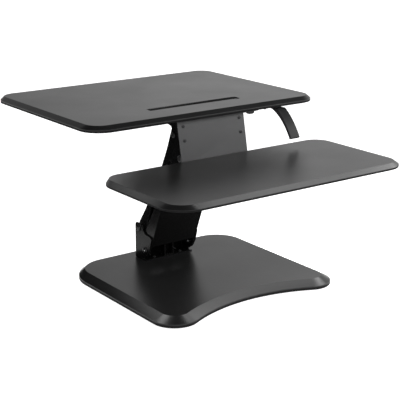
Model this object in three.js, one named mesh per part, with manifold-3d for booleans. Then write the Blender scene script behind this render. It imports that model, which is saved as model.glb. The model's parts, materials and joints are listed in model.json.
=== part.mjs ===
// Standing desk converter: a work surface and a keyboard tray carried over a base board by a single
// parallelogram column with a lockable gas spring. Millimetres, +Z up, +Y towards the back, X = 0 is
// the plane of symmetry, Z = 0 is the desk that the rubber feet stand on.
import * as THREE from "three";
import { mergeVertices } from "three/addons/utils/BufferGeometryUtils.js";
import Module from "manifold-3d";

const wasm = await Module();
wasm.setup();

// ---- driving dimensions -------------------------------------------------------------------------

const GAP = 0.3; // air between two pieces that touch
const SHEET = 3; // steel sheet of the brackets and arms
const ROUND_STEPS = 6; // half the segments of each arc round a board

const TRAY_WIDTH = 800;
const OVERALL_DEPTH = 965;
// Each board has a rim corner radius and a smaller one round its top face; the bevel between them is
// `inset` wide (`backInset` along the back edge) and drops by `drop`.
const TOP_BOARD = {
  depth: 583.5,
  z: 526,
  thickness: 18,
  rim: 66,
  face: 44,
  inset: 15,
  backInset: 12,
  drop: 10,
};
const KEY_BOARD = {
  depth: 370,
  z: 397.4,
  thickness: 15,
  rim: 75,
  face: 50,
  inset: 17,
  backInset: 5.5,
  drop: 9.5,
};
const BASE_BOARD = {
  width: 617,
  back: 254.5,
  front: -315,
  z: 27.3,
  bottom: 2,
  rim: 137,
  face: 86,
  inset: 27.5,
  drop: 15,
};
const BASE_BAY = { centre: -259, radius: 475 }; // concave front edge that leaves room for the user
const EDGE_BREAK = 1; // small chamfer round the bottom edge of each board

const SLOT = {
  centre: 13.5,
  halfLength: 160,
  front: -4,
  back: 29,
  depth: 2.5,
  corner: 10,
  deepFront: 9.5,
  deepInset: 3,
  deepDepth: 12,
};
const FOOT = { radius: 14, height: 4.7 };

// The column is a parallelogram: A and B are its lower pivots, C and D its upper ones.
const PIVOT_A = { y: 165, z: 124 };
const PIVOT_B = { y: 131, z: 61 };
const ARM_LENGTH = 380;
const ARM_LEAN = THREE.MathUtils.degToRad(30); // forward from the vertical, trays raised
const ARM_REACH = { y: -ARM_LENGTH * Math.sin(ARM_LEAN), z: ARM_LENGTH * Math.cos(ARM_LEAN) };
const PIVOT_C = { y: PIVOT_A.y + ARM_REACH.y, z: PIVOT_A.z + ARM_REACH.z };
const PIVOT_D = { y: PIVOT_B.y + ARM_REACH.y, z: PIVOT_B.z + ARM_REACH.z };

const BRACKET_HALF = 87; // half the outer width of the lower and upper brackets
const FRONT_ARM_HALF = 82;
const REAR_ARM_HALF = 75;
const FRONT_WEB_START = 26; // up the arm, clear of the lower pivot's bolts
const REAR_WEB = { start: -4, end: ARM_LENGTH - 35 };
const BOLT_RADIUS = 6; // shoulder bolts of the front arm
const PIN_RADIUS = 5; // through pins of the rear arm and the gas spring

// The gas spring runs from its own clevis on the base to the rear arm's upper pin.
const SPRING_FOOT = { y: 139.5, z: 81.7 };
const SPRING_TURN = Math.atan2(SPRING_FOOT.y - PIVOT_C.y, PIVOT_C.z - SPRING_FOOT.z);
const SPRING_LENGTH = Math.hypot(PIVOT_C.y - SPRING_FOOT.y, PIVOT_C.z - SPRING_FOOT.z);
const CYLINDER = { radius: 11, start: 18, end: 296, boreStart: 185 };
const ROD = { radius: 5, start: 245, boreGap: 0.4 };
// The upper eye's hole is wider than its pin, because the spring's turning lags the arms' a little.
const ROD_EYE = { radius: 16, hole: 10.5, halfWidth: 12, neck: 30 };

const PLATE_LEAN = THREE.MathUtils.degToRad(11);
const PLATE = { halfWidth: 116.5, bottomY: -111.5, top: 507.6, shelf: 191, corner: 4 };
const PLATE_SCREWS = { x: 99, upper: 492, lower: 452 };

const LEVER = { left: 240, right: 274, y: -36, z: 498, hub: 7 };
const LEVER_PIN_RADIUS = 3;
const CABLE_RADIUS = 2.5;
const CLIP_X = 149;
const CLIP_Y = -78.4;

// ---- materials ----------------------------------------------------------------------------------

const finish = (color, roughness, metalness) =>
  new THREE.MeshStandardMaterial({ color, roughness, metalness });
const BOARD_BLACK = finish(0x2b2b2c, 0.5, 0);
const COATED_BLACK = finish(0x161617, 0.45, 0.3);
const COATED_GREY = finish(0x4c4b4c, 0.5, 0.3);
const BARE_STEEL = finish(0x8b8c8e, 0.35, 1);
const CHROME = finish(0xc9cacc, 0.12, 1);
const NYLON = finish(0x1d1d1e, 0.6, 0);
const MOULDED_GREY = finish(0x3c3c3d, 0.5, 0);
const RUBBER = finish(0x101010, 0.9, 0);

// ---- joining and cutting ------------------------------------------------------------------------

function solid(geometry) {
  const bare = geometry.index ? geometry.toNonIndexed() : geometry.clone();
  bare.deleteAttribute("normal");
  bare.deleteAttribute("uv");
  const merged = mergeVertices(bare, 1e-4);
  return new wasm.Manifold(
    new wasm.Mesh({
      numProp: 3,
      vertProperties: merged.attributes.position.array,
      triVerts: new Uint32Array(merged.index.array),
    }),
  );
}

function geometryOf(manifold) {
  const mesh = manifold.getMesh();
  const geometry = new THREE.BufferGeometry();
  geometry.setAttribute("position", new THREE.BufferAttribute(new Float32Array(mesh.vertProperties), 3));
  geometry.setIndex(new THREE.BufferAttribute(new Uint32Array(mesh.triVerts), 1));
  const faceted = geometry.toNonIndexed();
  faceted.computeVertexNormals();
  return faceted;
}

const join = (...pieces) => pieces.reduce((all, piece) => all.add(piece));
const cut = (body, ...tools) => tools.reduce((left, tool) => left.subtract(tool), body);

// ---- basic shapes -------------------------------------------------------------------------------

function block(xRange, yRange, zRange) {
  const [x0, x1] = xRange;
  const [y0, y1] = yRange;
  const [z0, z1] = zRange;
  const geometry = new THREE.BoxGeometry(x1 - x0, y1 - y0, z1 - z0);
  geometry.translate((x0 + x1) / 2, (y0 + y1) / 2, (z0 + z1) / 2);
  return solid(geometry);
}

// A round bar along X between two x values, at (y, z).
function barX(radius, x0, x1, y, z, sides = 16) {
  const geometry = new THREE.CylinderGeometry(radius, radius, Math.abs(x1 - x0), sides);
  geometry.rotateZ(-Math.PI / 2);
  geometry.translate((x0 + x1) / 2, y, z);
  return solid(geometry);
}

// A round bar along Z between two z values, at (x, y).
function barZ(radius, z0, z1, x, y, sides = 16) {
  const geometry = new THREE.CylinderGeometry(radius, radius, z1 - z0, sides);
  geometry.rotateX(Math.PI / 2);
  geometry.translate(x, y, (z0 + z1) / 2);
  return solid(geometry);
}

// A closed outline with its corners rounded by true arcs. Each corner is [u, v, radius].
function roundedShape(corners) {
  const shape = new THREE.Shape();
  corners.forEach(([u, v, radius = 0], i) => {
    const here = new THREE.Vector2(u, v);
    const before = new THREE.Vector2(...corners.at(i - 1)).sub(here).normalize();
    const after = new THREE.Vector2(...corners[(i + 1) % corners.length]).sub(here).normalize();
    if (radius > 0) {
      const half = Math.acos(THREE.MathUtils.clamp(before.dot(after), -1, 1)) / 2;
      const centre = before.clone().add(after).normalize().multiplyScalar(radius / Math.sin(half)).add(here);
      const start = before.multiplyScalar(radius / Math.tan(half)).add(here).sub(centre);
      const end = after.multiplyScalar(radius / Math.tan(half)).add(here).sub(centre);
      shape.absarc(centre.x, centre.y, radius, start.angle(), end.angle(), start.cross(end) < 0);
    } else if (i === 0) {
      shape.moveTo(u, v);
    } else {
      shape.lineTo(u, v);
    }
  });
  shape.closePath();
  return shape;
}

// A shape whose outline lies in the Y-Z plane, run along X between two x values.
function alongX(shape, x0, x1, steps) {
  const geometry = new THREE.ExtrudeGeometry(shape, {
    depth: x1 - x0,
    bevelEnabled: false,
    curveSegments: steps,
  });
  const axes = new THREE.Matrix4().makeBasis(
    new THREE.Vector3(0, 1, 0),
    new THREE.Vector3(0, 0, 1),
    new THREE.Vector3(1, 0, 0),
  );
  geometry.applyMatrix4(axes);
  geometry.translate(x0, 0, 0);
  return solid(geometry);
}

const sidePlate = (corners, x0, x1) => alongX(roundedShape(corners), x0, x1, 4);

// A plate whose outline lies in the X-Y plane and whose thickness runs along Z.
function flatPlate(corners, z0, z1) {
  const geometry = new THREE.ExtrudeGeometry(roundedShape(corners), {
    depth: z1 - z0,
    bevelEnabled: false,
    curveSegments: 4,
  });
  geometry.translate(0, 0, z0);
  return solid(geometry);
}

// The rectangle [x0, x1] by [y0, y1] as corners with one radius.
const rectangle = (x0, x1, y0, y1, radius = 0) => [
  [x0, y0, radius],
  [x1, y0, radius],
  [x1, y1, radius],
  [x0, y1, radius],
];

const mirroredPair = (make) => [make(-1), make(1)];

// ---- the scene graph ----------------------------------------------------------------------------

const desk = new THREE.Group();
const sideName = (side) => (side < 0 ? "left" : "right");

function group(parent, y = 0, z = 0, turn = 0) {
  const made = new THREE.Group();
  made.position.set(0, y, z);
  made.rotation.x = turn;
  parent.add(made);
  return made;
}

function piece(parent, name, manifold, material) {
  const mesh = new THREE.Mesh(geometryOf(manifold), material);
  mesh.name = name;
  parent.add(mesh);
  return mesh;
}

// ---- boards -------------------------------------------------------------------------------------

// An outline of arcs, counter-clockwise; each arc is [centre x, centre y, radius, from, to, clockwise].
// Where two arcs meet, their shared point is kept once.
function arcOutline(arcs) {
  const points = arcs.flatMap(([x, y, radius, from, to, clockwise]) =>
    new THREE.EllipseCurve(x, y, radius, radius, from, to, clockwise).getPoints(2 * ROUND_STEPS),
  );
  return points.filter((point, i) => point.distanceTo(points.at(i - 1)) > 0.01);
}

const QUARTER = Math.PI / 2;

function trayOutline(front, back, radius, inset, backInset = inset) {
  const x = TRAY_WIDTH / 2 - inset - radius;
  const y0 = front + inset + radius;
  const y1 = back - backInset - radius;
  return arcOutline([
    [-x, y0, radius, 2 * QUARTER, 3 * QUARTER, false],
    [x, y0, radius, 3 * QUARTER, 4 * QUARTER, false],
    [x, y1, radius, 0, QUARTER, false],
    [-x, y1, radius, QUARTER, 2 * QUARTER, false],
  ]);
}

// The base's front corners are arcs that touch the side, the frontmost line and the concave bay.
function baseOutline(radius, inset) {
  const { width, front, back } = BASE_BOARD;
  const half = width / 2;
  const x = half - inset - radius;
  const y = back - inset - radius;
  const bayY = BASE_BAY.centre - BASE_BAY.radius;
  const rise = front - bayY;
  const slack = rise - half - BASE_BAY.radius;
  const square = half ** 2 + rise ** 2 - BASE_BAY.radius ** 2;
  const tip = -slack - Math.sqrt(slack ** 2 - square);
  const turn = Math.atan2(front + tip - bayY, half - tip);
  return arcOutline([
    [-half + tip, front + tip, tip - inset, 2 * QUARTER, 4 * QUARTER - turn, false],
    [0, bayY, BASE_BAY.radius + inset, 2 * QUARTER - turn, turn, true],
    [half - tip, front + tip, tip - inset, 2 * QUARTER + turn, 4 * QUARTER, false],
    [x, y, radius, 0, QUARTER, false],
    [-x, y, radius, QUARTER, 2 * QUARTER, false],
  ]);
}

// A board is a stack of outlines: a broken bottom edge, an upright rim and a bevel up to its top face.
function board(rim, face, bottom, top, drop) {
  const levels = [
    { z: bottom, points: rim(EDGE_BREAK) },
    { z: bottom + EDGE_BREAK, points: rim(0) },
    { z: top - drop, points: rim(0) },
    { z: top, points: face },
  ];
  const count = levels[0].points.length;
  const vertices = levels.flatMap(({ z, points }) => points.flatMap((p) => [p.x, p.y, z]));
  const index = [];
  for (let level = 0; level < levels.length - 1; level += 1) {
    for (let i = 0; i < count; i += 1) {
      const a = level * count + i;
      const b = level * count + ((i + 1) % count);
      index.push(a, b, b + count, a, b + count, a + count);
    }
  }
  const cap = (level, flip) =>
    THREE.ShapeUtils.triangulateShape(levels[level].points, []).forEach(([a, b, c]) => {
      const ring = flip ? [a, c, b] : [a, b, c];
      index.push(...ring.map((i) => i + level * count));
    });
  cap(0, true);
  cap(levels.length - 1, false);
  const geometry = new THREE.BufferGeometry();
  geometry.setAttribute("position", new THREE.Float32BufferAttribute(vertices, 3));
  geometry.setIndex(index);
  return solid(geometry);
}

const topBoardBack = OVERALL_DEPTH / 2;
const topBoardFront = topBoardBack - TOP_BOARD.depth;
const topBoardBottom = TOP_BOARD.z - TOP_BOARD.thickness;
const keyBoardFront = -OVERALL_DEPTH / 2;
const keyBoardBack = keyBoardFront + KEY_BOARD.depth;
const keyBoardBottom = KEY_BOARD.z - KEY_BOARD.thickness;

// ---- fasteners ----------------------------------------------------------------------------------

const WOOD_SCREW = { shank: 2.5, head: 6, headHeight: 3, length: 10 };
const PILOT_GAP = 0.3;

// A pan-head screw along Z: direction 1 drives up into a board, -1 drives down into one.
function woodScrew(x, y, headZ, direction, clamped) {
  const tip = headZ + direction * (clamped + WOOD_SCREW.length);
  const under = headZ - direction * GAP;
  const face = under - direction * WOOD_SCREW.headHeight;
  const shank = barZ(WOOD_SCREW.shank, Math.min(under, tip), Math.max(under, tip), x, y, 8);
  return join(shank, barZ(WOOD_SCREW.head, Math.min(under, face), Math.max(under, face), x, y, 12));
}

const screwHole = (x, y, z0, z1) => barZ(WOOD_SCREW.shank + PILOT_GAP, z0, z1, x, y, 8);

// A shoulder bolt along X with its head outside the bracket and its nut inside the front arm.
function shoulderBolt(side, pivot) {
  const head = BRACKET_HALF + GAP;
  const nut = FRONT_ARM_HALF - SHEET - GAP;
  return join(
    barX(BOLT_RADIUS, side * (nut - 6), side * (head + 1), pivot.y, pivot.z),
    barX(BOLT_RADIUS + 4.5, side * head, side * (head + 4.5), pivot.y, pivot.z),
    barX(BOLT_RADIUS + 3.5, side * (nut - 7), side * nut, pivot.y, pivot.z, 6),
  );
}

// A headed pin along X, right through a bracket of the given half width.
function throughPin(halfWidth, radius, pivot) {
  const head = halfWidth + GAP;
  const heads = mirroredPair((side) => barX(radius + 3, side * head, side * (head + 3), pivot.y, pivot.z));
  return join(barX(radius, -head - 1, head + 1, pivot.y, pivot.z), ...heads);
}

function ring(inner, outer, x0, x1, pivot) {
  return cut(barX(outer, x0, x1, pivot.y, pivot.z), barX(inner, x0 - 1, x1 + 1, pivot.y, pivot.z));
}

// The running gear at one end of the column: bolts, pin, washers and spacers.
function pivotSet(parent, level, frontPivot, rearPivot) {
  mirroredPair((side) => {
    const at = `${level}_${sideName(side)}`;
    const span = (a, b) => [Math.min(side * a, side * b), Math.max(side * a, side * b)];
    const washer = span(FRONT_ARM_HALF + GAP, BRACKET_HALF - SHEET - GAP);
    const spacer = span(REAR_ARM_HALF + GAP, BRACKET_HALF - SHEET - GAP);
    piece(parent, `front_arm_bolt_${at}`, shoulderBolt(side, frontPivot), BARE_STEEL);
    piece(parent, `front_arm_washer_${at}`, ring(BOLT_RADIUS + GAP, 11, ...washer, frontPivot), NYLON);
    piece(parent, `rear_arm_spacer_${at}`, ring(PIN_RADIUS + GAP, 9, ...spacer, rearPivot), NYLON);
  });
  piece(parent, `rear_arm_pin_${level}`, throughPin(BRACKET_HALF, PIN_RADIUS, rearPivot), BARE_STEEL);
}

// ---- base ---------------------------------------------------------------------------------------

const FOOT_PLACES = {
  front_left: [-252, -255],
  front_right: [252, -255],
  middle_left: [-262, -10],
  middle_right: [262, -10],
  back_left: [-252, 198],
  back_right: [252, 198],
};
const BRACKET_FLOOR = { front: 127, back: 185, wallTop: 113 };
const BASE_SCREWS = { x: [-48, 48], y: [140, 168] };
const floorTop = BASE_BOARD.z + GAP + SHEET;

function makeBaseBoard(parent) {
  const { bottom, z, rim, face, inset, drop } = BASE_BOARD;
  const body = board((edge) => baseOutline(rim - edge, edge), baseOutline(face, inset), bottom, z, drop);
  const pocketTop = FOOT.height + GAP;
  const pockets = Object.values(FOOT_PLACES).map(([x, y]) =>
    barZ(FOOT.radius + GAP, bottom - 1, pocketTop, x, y, 20),
  );
  const pilots = BASE_SCREWS.x.flatMap((x) =>
    BASE_SCREWS.y.map((y) => screwHole(x, y, z - WOOD_SCREW.length - 1, z + 1)),
  );
  piece(parent, "base_board", cut(body, ...pockets, ...pilots), BOARD_BLACK);
  Object.entries(FOOT_PLACES).forEach(([where, [x, y]]) =>
    piece(parent, `rubber_foot_${where}`, barZ(FOOT.radius, 0, FOOT.height, x, y, 20), RUBBER),
  );
}

function makeBaseBracket(parent) {
  const { front, back, wallTop } = BRACKET_FLOOR;
  const floorBottom = floorTop - SHEET;
  const sideOutline = [
    [back, floorBottom, 2],
    [back - 1, 141, 9],
    [157, 143, 5],
    [132, 113, 14],
    [96, 109, 8],
    [108, 69, 20],
    [122, 46, 25],
    [151, floorBottom, 3],
  ];
  const plates = mirroredPair((side) => {
    const inner = side * (BRACKET_HALF - SHEET);
    const outer = side * BRACKET_HALF;
    return sidePlate(sideOutline, Math.min(inner, outer), Math.max(inner, outer));
  });
  const width = [-BRACKET_HALF + 1, BRACKET_HALF - 1];
  const floor = block(width, [front, back - 1], [floorBottom, floorTop]);
  const wall = block(width, [back - 1 - SHEET, back - 1], [floorBottom, wallTop]);
  const reach = BRACKET_HALF + 5;
  const holes = [
    barX(PIN_RADIUS + GAP, -reach, reach, PIVOT_A.y, PIVOT_A.z),
    barX(BOLT_RADIUS + GAP, -reach, reach, PIVOT_B.y, PIVOT_B.z),
  ];
  BASE_SCREWS.x.forEach((x) =>
    BASE_SCREWS.y.forEach((y) => holes.push(screwHole(x, y, floorBottom - 1, floorTop + 1))),
  );
  piece(parent, "base_bracket", cut(join(floor, wall, ...plates), ...holes), COATED_BLACK);

  BASE_SCREWS.x.forEach((x) =>
    BASE_SCREWS.y.forEach((y) => {
      const where = `${y === BASE_SCREWS.y[0] ? "front" : "back"}_${sideName(x)}`;
      piece(parent, `base_screw_${where}`, woodScrew(x, y, floorTop, -1, SHEET + GAP), BARE_STEEL);
    }),
  );
}

const CLEVIS = { halfWidth: 17, ear: 3.5, front: 128, back: 153 };

function makeSpringClevis(parent) {
  const { halfWidth, ear, front, back } = CLEVIS;
  const bottom = floorTop + GAP;
  const outline = [
    [front, bottom, 0],
    [back, bottom, 0],
    [back - 2, SPRING_FOOT.z + 11, 10],
    [front + 2, SPRING_FOOT.z + 11, 10],
  ];
  const solidClevis = join(
    sidePlate(outline, -halfWidth, -halfWidth + ear),
    sidePlate(outline, halfWidth - ear, halfWidth),
    block([-halfWidth, halfWidth], [front, back], [bottom, bottom + ear]),
  );
  const hole = barX(PIN_RADIUS + GAP, -halfWidth - 1, halfWidth + 1, SPRING_FOOT.y, SPRING_FOOT.z);
  piece(parent, "spring_clevis", cut(solidClevis, hole), COATED_BLACK);
  piece(parent, "spring_pin_lower", throughPin(halfWidth, PIN_RADIUS, SPRING_FOOT), BARE_STEEL);
}

// ---- arms, each drawn in its own frame: local Z runs up the arm, local Y is square to it ---------

const frontArmOutline = [
  [-17.5, -18, 15],
  [20, -17, 14],
  [34.5, 35, 25],
  [35, 95, 60],
  [30, 190, 250],
  [40, 320, 60],
  [34, 360, 20],
  [15, ARM_LENGTH + 16, 14],
  [-15, ARM_LENGTH + 16, 14],
  [-16, ARM_LENGTH - 12, 10],
  [9.6, 190, 250],
  [-16, 10, 10],
];
const frontWebLine = [
  [-12.5, FRONT_WEB_START],
  [8.4, 178],
  [8.4, 202],
  [-11.4, 343],
];
const rearArmOutline = [
  [-20, -12, 12],
  [15.5, -14.5, 14],
  [20.5, 8, 12],
  [15, 65, 60],
  [13, 130, 100],
  [13, 240, 100],
  [17, 290, 60],
  [20.5, 330, 40],
  [20.5, ARM_LENGTH + 14, 16],
  [-14.5, ARM_LENGTH + 14, 14],
  [-14.5, ARM_LENGTH - 10, 10],
  [-8, 270, 150],
  [-3.5, 115, 150],
  [-20, 12, 14],
];

function flangePair(outline, half) {
  return mirroredPair((side) => {
    const inner = side * (half - SHEET);
    const outer = side * half;
    return sidePlate(outline, Math.min(inner, outer), Math.max(inner, outer));
  });
}

function pivotHoles(radius, half) {
  return [0, ARM_LENGTH].map((along) => barX(radius, -half - 1, half + 1, 0, along));
}

function makeFrontArm(parent) {
  const back = frontWebLine.map(([t, s]) => [t + SHEET, s, 0]).reverse();
  const front = frontWebLine.map(([t, s]) => [t, s, 0]);
  const web = sidePlate([...front, ...back], -FRONT_ARM_HALF + 1, FRONT_ARM_HALF - 1);
  const tie = barX(6, -FRONT_ARM_HALF + 1, FRONT_ARM_HALF - 1, 8, 305);
  const body = join(web, tie, ...flangePair(frontArmOutline, FRONT_ARM_HALF));
  const holes = pivotHoles(BOLT_RADIUS + GAP, FRONT_ARM_HALF);
  piece(parent, "front_arm", cut(body, ...holes), COATED_BLACK);
}

function makeRearArm(parent) {
  const webFront = 9.9;
  const web = block(
    [-REAR_ARM_HALF + 1, REAR_ARM_HALF - 1],
    [webFront, webFront + SHEET],
    [REAR_WEB.start, REAR_WEB.end],
  );
  const body = join(web, ...flangePair(rearArmOutline, REAR_ARM_HALF));
  piece(parent, "rear_arm", cut(body, ...pivotHoles(PIN_RADIUS + GAP, REAR_ARM_HALF)), COATED_BLACK);
}

// ---- gas spring, drawn along local Z from its lower pin ------------------------------------------

function makeGasSpring(parent) {
  const { radius, start, end, boreStart } = CYLINDER;
  const bore = ROD.radius + ROD.boreGap;
  const neck = SPRING_LENGTH - ROD_EYE.neck;
  const gland = end + GAP;
  const glandEnd = gland + 8;
  const origin = { y: 0, z: 0 };
  const upper = { y: 0, z: SPRING_LENGTH };

  const tube = cut(barZ(radius, start, end, 0, 0, 20), barZ(bore, boreStart, end + 1, 0, 0));
  piece(parent, "gas_spring_cylinder", tube, COATED_BLACK);
  const cap = cut(barZ(radius + 0.8, gland, glandEnd, 0, 0, 20), barZ(bore, gland - 1, glandEnd + 1, 0, 0));
  piece(parent, "gas_spring_gland", cap, NYLON);

  const eyeHalf = CLEVIS.halfWidth - CLEVIS.ear - 2;
  const lowerRing = ring(PIN_RADIUS + GAP, 10, -eyeHalf, eyeHalf, origin);
  const lowerEye = join(lowerRing, barZ(8, 8.5, start - GAP, 0, 0));
  piece(parent, "gas_spring_lower_eye", lowerEye, COATED_BLACK);

  piece(parent, "gas_spring_rod", barZ(ROD.radius, ROD.start, neck - GAP, 0, 0), CHROME);
  const collar = barZ(8, neck, SPRING_LENGTH - ROD_EYE.hole - 2, 0, 0);
  const eye = ring(ROD_EYE.hole, ROD_EYE.radius, -ROD_EYE.halfWidth, ROD_EYE.halfWidth, upper);
  const throat = barX(ROD_EYE.hole, -ROD_EYE.halfWidth - 1, ROD_EYE.halfWidth + 1, 0, SPRING_LENGTH);
  piece(parent, "gas_spring_release_head", join(eye, cut(collar, throat)), COATED_BLACK);
}

// ---- carriage: top bracket, boards and drop plate ------------------------------------------------

const topPlateTop = topBoardBottom - GAP;
const topPlateBottom = topPlateTop - SHEET;
const TOP_SCREWS = { x: [-62, 62], y: [-52, 78] };
const CABLE_PORT = { y: -20, z: 496 };

// Moves a point on the drop plate's front face, given by its height, to (y, z) with a depth behind it.
function onPlate(z, depth) {
  const y = PLATE.bottomY + (z - keyBoardBottom) * Math.tan(PLATE_LEAN);
  return [y + depth * Math.cos(PLATE_LEAN), z - depth * Math.sin(PLATE_LEAN)];
}

function plateScrewHoles(depth0, depth1) {
  return mirroredPair((side) =>
    [PLATE_SCREWS.upper, PLATE_SCREWS.lower].map((z) => {
      const geometry = new THREE.CylinderGeometry(2.6, 2.6, depth1 - depth0, 8);
      geometry.rotateX(-PLATE_LEAN);
      const [y, height] = onPlate(z, (depth0 + depth1) / 2);
      geometry.translate(side * PLATE_SCREWS.x, y, height);
      return solid(geometry);
    }),
  ).flat();
}

function makeTopBracket(parent) {
  const behind = SHEET + GAP;
  const flangeTop = 499;
  const flangeBottom = 436;
  const roofEdge = topPlateTop - 0.5;
  const [roofFront] = onPlate(roofEdge, behind);
  const sideOutline = [
    [roofFront, roofEdge, 0],
    [100, roofEdge, 0],
    [98, topPlateBottom - 4, 2],
    [-18.5, 475.7, 7],
    [23, 371, 14],
    [-74, 371, 14],
    [...onPlate(flangeBottom, behind), 0],
  ];
  const plates = flangePair(sideOutline, BRACKET_HALF);
  const flangeOutline = [
    [...onPlate(flangeTop, behind), 0],
    [...onPlate(flangeTop, behind + SHEET), 0],
    [...onPlate(flangeBottom, behind + SHEET), 0],
    [...onPlate(flangeBottom, behind), 0],
  ];
  const flanges = mirroredPair((side) => {
    const near = side * (BRACKET_HALF - 1);
    const far = side * (PLATE.halfWidth - 2);
    return sidePlate(flangeOutline, Math.min(near, far), Math.max(near, far));
  });
  const roofWidth = [-BRACKET_HALF + 1, BRACKET_HALF - 1];
  const roof = block(roofWidth, [roofFront + 6, 100], [topPlateBottom, topPlateTop]);
  const reach = BRACKET_HALF + 5;
  const holes = [
    barX(PIN_RADIUS + GAP, -reach, reach, PIVOT_C.y, PIVOT_C.z),
    barX(BOLT_RADIUS + GAP, -reach, reach, PIVOT_D.y, PIVOT_D.z),
    barX(CABLE_RADIUS + 0.6, BRACKET_HALF - 10, reach, CABLE_PORT.y, CABLE_PORT.z, 12),
    ...plateScrewHoles(behind - 2, behind + SHEET + 2),
  ];
  TOP_SCREWS.x.forEach((x) =>
    TOP_SCREWS.y.forEach((y) => holes.push(screwHole(x, y, topPlateBottom - 1, topPlateTop + 1))),
  );
  piece(parent, "top_bracket", cut(join(roof, ...plates, ...flanges), ...holes), COATED_BLACK);
  TOP_SCREWS.x.forEach((x) =>
    TOP_SCREWS.y.forEach((y) => {
      const where = `${y === TOP_SCREWS.y[0] ? "front" : "back"}_${sideName(x)}`;
      piece(parent, `top_screw_${where}`, woodScrew(x, y, topPlateBottom, 1, SHEET + GAP), BARE_STEEL);
    }),
  );
}

const SHELF_SCREWS = { x: [-85, 85], y: [-280, -150] };
const shelfTop = keyBoardBottom - GAP;
const shelfBottom = shelfTop - SHEET;

function makeDropPlate(parent) {
  const { halfWidth, shelf, corner, top } = PLATE;
  const bend = keyBoardBack - shelf;
  const outline = [
    [bend, shelfBottom, 0],
    [onPlate(shelfBottom, SHEET)[0], shelfBottom, 4],
    [...onPlate(top, SHEET), 0],
    [...onPlate(top, 0), 0],
    [onPlate(shelfTop, 0)[0], shelfTop, 1],
    [bend, shelfTop, 0],
  ];
  const bent = sidePlate(outline, -halfWidth, halfWidth);
  const frontView = new THREE.ExtrudeGeometry(
    roundedShape(rectangle(-halfWidth, halfWidth, shelfBottom - corner * 2, top, corner)),
    { depth: 3 * shelf, bevelEnabled: false, curveSegments: 6 },
  );
  frontView.rotateX(Math.PI / 2);
  frontView.translate(0, shelf, 0);
  const sheet = bent.intersect(solid(frontView));
  const holes = plateScrewHoles(-2, SHEET + 2);
  SHELF_SCREWS.x.forEach((x) =>
    SHELF_SCREWS.y.forEach((y) => holes.push(screwHole(x, y, shelfBottom - 1, shelfTop + 1))),
  );
  piece(parent, "drop_plate", cut(sheet, ...holes), COATED_GREY);

  SHELF_SCREWS.x.forEach((x) =>
    SHELF_SCREWS.y.forEach((y) => {
      const where = `${y === SHELF_SCREWS.y[0] ? "front" : "back"}_${sideName(x)}`;
      piece(parent, `keyboard_screw_${where}`, woodScrew(x, y, shelfBottom, 1, SHEET + GAP), BARE_STEEL);
    }),
  );
  Object.entries({ upper: PLATE_SCREWS.upper, lower: PLATE_SCREWS.lower }).forEach(([level, z]) =>
    mirroredPair((side) => {
      const screw = group(parent, ...onPlate(z, 0), -PLATE_LEAN);
      screw.position.x = side * PLATE_SCREWS.x;
      const shank = new THREE.CylinderGeometry(2.2, 2.2, 10.5, 8).translate(0, 4.75, 0);
      const head = new THREE.CylinderGeometry(5, 3.6, 2.2, 12).translate(0, -1.1 - GAP, 0);
      piece(screw, `plate_screw_${level}_${sideName(side)}`, join(solid(shank), solid(head)), BARE_STEEL);
    }),
  );
}

function makeKeyBoard(parent) {
  const { rim, face, inset, backInset, drop, z } = KEY_BOARD;
  const body = board(
    (edge) => trayOutline(keyBoardFront, keyBoardBack, rim - edge, edge),
    trayOutline(keyBoardFront, keyBoardBack, face, inset, backInset),
    keyBoardBottom,
    z,
    drop,
  );
  const depth = keyBoardBottom + WOOD_SCREW.length + 1;
  const pilots = SHELF_SCREWS.x.flatMap((x) =>
    SHELF_SCREWS.y.map((y) => screwHole(x, y, keyBoardBottom - 1, depth)),
  );
  piece(parent, "keyboard_board", cut(body, ...pilots), BOARD_BLACK);
}

function makeTopBoard(parent) {
  const { rim, face, inset, backInset, drop, z } = TOP_BOARD;
  const { centre, halfLength, front, back, depth, corner, deepFront, deepInset, deepDepth } = SLOT;
  const depthLimit = topBoardBottom + WOOD_SCREW.length + 1;
  const pilots = TOP_SCREWS.x.flatMap((x) =>
    TOP_SCREWS.y.map((y) => screwHole(x, y, topBoardBottom - 1, depthLimit)),
  );
  LEVER_SCREWS.forEach(([x, y]) => pilots.push(screwHole(x, y, topBoardBottom - 1, depthLimit)));
  const stadium = (half, near, far, radius) => rectangle(centre - half, centre + half, near, far, radius);
  const shallow = flatPlate(stadium(halfLength, front, back, corner), z - depth, z + 1);
  const deepOutline = stadium(halfLength - deepInset, deepFront, back - 0.5, corner / 2);
  const deep = flatPlate(deepOutline, z - deepDepth, z + 1);
  const body = board(
    (edge) => trayOutline(topBoardFront, topBoardBack, rim - edge, edge),
    trayOutline(topBoardFront, topBoardBack, face, inset, backInset),
    topBoardBottom,
    z,
    drop,
  );
  piece(parent, "top_board", cut(body, shallow, deep, ...pilots), BOARD_BLACK);
}

// ---- release lever, its bracket and its cable ----------------------------------------------------

const LEVER_BRACKET = { left: 226, right: 288, front: -60, back: 10, sheet: 2.5 };
const LEVER_SCREWS = [
  [LEVER_BRACKET.left + 12, -2],
  [LEVER_BRACKET.right - 12, -2],
];

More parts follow.
